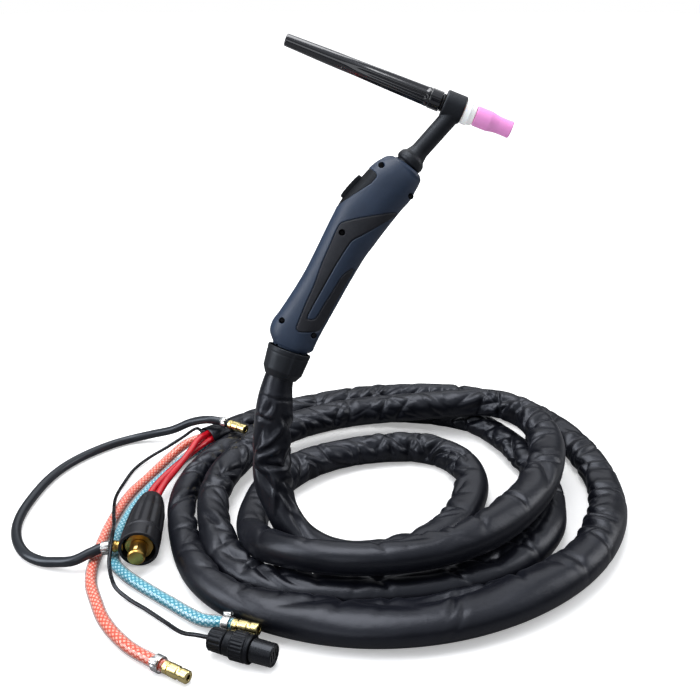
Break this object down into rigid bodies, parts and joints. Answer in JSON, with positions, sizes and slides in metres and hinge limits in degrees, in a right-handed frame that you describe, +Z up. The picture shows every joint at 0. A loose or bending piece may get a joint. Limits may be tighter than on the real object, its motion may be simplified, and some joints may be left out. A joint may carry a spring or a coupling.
{
  "type": "tig torch",
  "caption": "Water cooled TIG welding torch with swivelling handle, long back cap, ceramic cup and a coiled cloth-sheathed cable set ending in welder, water, gas and control plugs.",
  "frame": {"origin": "middle of the footprint of the whole part, on the floor plane it rests on", "axes": "+Z up, +Y from the connector plugs side front towards the back of the coil, +X from the loose ends towards the far side of the coil"},
  "size_m": [0.5834, 0.4734, 0.4306],
  "materials": {
    "handle_plastic": "satin slate blue moulded plastic",
    "grip_inlay": "fine textured dark grey soft grip",
    "torch_rubber": "matte black over-moulded rubber",
    "cap_plastic": "glossy black",
    "ptfe": "white, slightly waxy",
    "pink_ceramic": "pink alumina, satin",
    "brass": "turned brass",
    "pale_brass": "bright pale plated brass",
    "copper": "drawn copper",
    "tungsten": "ground tungsten",
    "steel": "stainless band",
    "sheath_fabric": "black coated cloth with a soft sheen",
    "hose_red_braid": "clear tube over an orange red braid",
    "hose_blue_braid": "clear tube over a cyan braid",
    "red_tube": "glossy red",
    "black_plastic": "black moulded plastic",
    "black_rubber": "black rubber"
  },
  "bodies": {
    "cable_set": {"sheath": "sheath_fabric", "cable_collar": "torch_rubber", "power_cable": "red_tube", "gas_line": "red_tube", "coolant_return_hose": "hose_red_braid", "coolant_feed_hose": "hose_blue_braid", "control_cable": "black_rubber", "gas_supply_hose": "black_rubber", "gas_quick_plug": "pale_brass", "gas_plug_clamp": "steel", "return_quick_plug": "pale_brass", "return_hose_clamp": "steel", "feed_quick_plug": "pale_brass", "feed_hose_clamp": "steel", "dinse_sleeve": "black_rubber", "dinse_body": "brass", "dinse_pin": "brass", "gas_nipple": "brass", "gas_nipple_clamp": "steel", "control_plug_gland": "black_plastic", "control_plug_shell": "black_plastic", "control_plug_insert": "black_plastic"},
    "swivel": {"swivel_seat": "black_plastic"},
    "handle": {"torch_body": "torch_rubber", "brass_head": "brass", "power_return_tube": "copper", "water_inlet_tube": "copper", "gas_tube": "copper", "collet_body": "copper", "collet": "copper", "cup_gasket": "ptfe", "handle_shell_left": "handle_plastic", "grip_inlay_left": "grip_inlay", "handle_shell_right": "handle_plastic", "grip_inlay_right": "grip_inlay", "handle_screw_1": "steel", "handle_screw_2": "steel", "handle_screw_3": "steel", "handle_screw_4": "steel", "handle_screw_5": "steel", "switch_module": "torch_rubber", "microswitch": "black_plastic", "trigger_spring": "steel", "ball_joint": "black_plastic"},
    "trigger": {"trigger_button": "black_plastic"},
    "plunger": {"microswitch_plunger": "red_tube"},
    "cap_seal": {"back_cap_o_ring": "torch_rubber"},
    "cap": {"back_cap": "cap_plastic"},
    "cup": {"nozzle": "pink_ceramic"},
    "electrode": {"tungsten_electrode": "tungsten"},
    "plug_ring": {"control_plug_coupling": "black_plastic"}
  },
  "joints": [
    {"name": "handle_swivel", "type": "hinge", "parent": "cable_set", "child": "swivel", "pos_m": [-0.02679, -0.02384, 0.17702], "axis": [0.3291, 0.2761, 0.903], "range_deg": [-60, 60]},
    {"name": "handle_tilt", "type": "hinge", "parent": "swivel", "child": "handle", "pos_m": [-0.02679, -0.02384, 0.17702], "axis": [0, 0.9563, -0.2924], "range_deg": [-8, 8]},
    {"name": "trigger_press", "type": "slide", "parent": "handle", "child": "trigger", "axis": [0.7441, -0.1953, -0.6389], "range_m": [0, 0.0016], "stiffness_N_per_m": 600, "springref_m": -0.0008, "deforming": ["trigger_spring"]},
    {"name": "plunger_press", "type": "slide", "parent": "handle", "child": "plunger", "axis": [0.7441, -0.1953, -0.6389], "range_m": [0, 0.0016]},
    {"name": "cap_back_off", "type": "slide", "parent": "handle", "child": "cap_seal", "axis": [-0.931, 0.1067, 0.3491], "range_m": [0, 0.0075]},
    {"name": "cap_unscrew", "type": "hinge", "parent": "cap_seal", "child": "cap", "pos_m": [0.11321, 0.03627, 0.37364], "axis": [-0.931, 0.1067, 0.3491], "range_deg": [0, 2160]},
    {"name": "cup_pull", "type": "slide", "parent": "handle", "child": "cup", "axis": [0.931, -0.1067, -0.3491], "range_m": [0, 0.01]},
    {"name": "electrode_feed", "type": "slide", "parent": "handle", "child": "electrode", "axis": [0.931, -0.1067, -0.3491], "range_m": [0, 0.008]},
    {"name": "plug_ring_turn", "type": "hinge", "parent": "cable_set", "child": "plug_ring", "pos_m": [-0.07999, -0.19759, 0.012], "axis": [0.9357, -0.3529, 0], "continuous": true}
  ],
  "couplings": [
    {"joint": "plunger_press", "follows": "trigger_press", "ratio": 1},
    {"joint": "cap_back_off", "follows": "cap_unscrew", "m_per_rad": 0.00019894}
  ]
}
